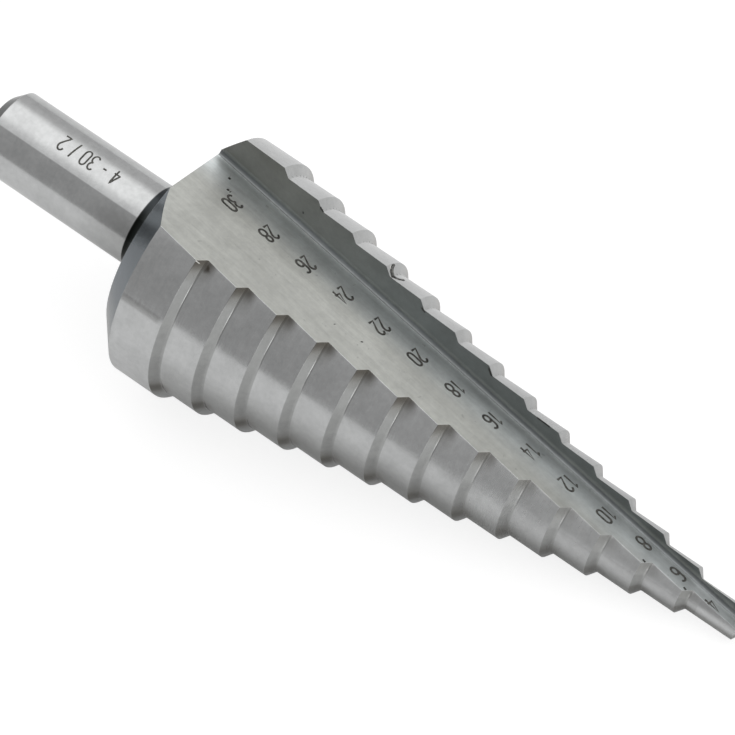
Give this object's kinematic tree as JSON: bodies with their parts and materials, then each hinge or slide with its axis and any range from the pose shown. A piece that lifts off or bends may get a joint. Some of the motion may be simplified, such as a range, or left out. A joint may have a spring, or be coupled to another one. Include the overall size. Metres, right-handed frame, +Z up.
{
  "type": "step drill",
  "caption": "Two-flute step drill with a plain round shank, ground in one piece, with the diameter of each step marked on the flute.",
  "frame": {"origin": "middle of the footprint, on the floor under the drill as it lies with one flute down", "axes": "+X towards the tip along the floor, +Z up; the drill's own axis leans tip down by 9.09 degrees"},
  "size_m": [0.099, 0.0292, 0.0263],
  "materials": {
    "ground_steel": "ground high speed steel, satin, with fine grinding lines"
  },
  "bodies": {
    "root": {"step_drill": "ground_steel"}
  },
  "joints": []
}
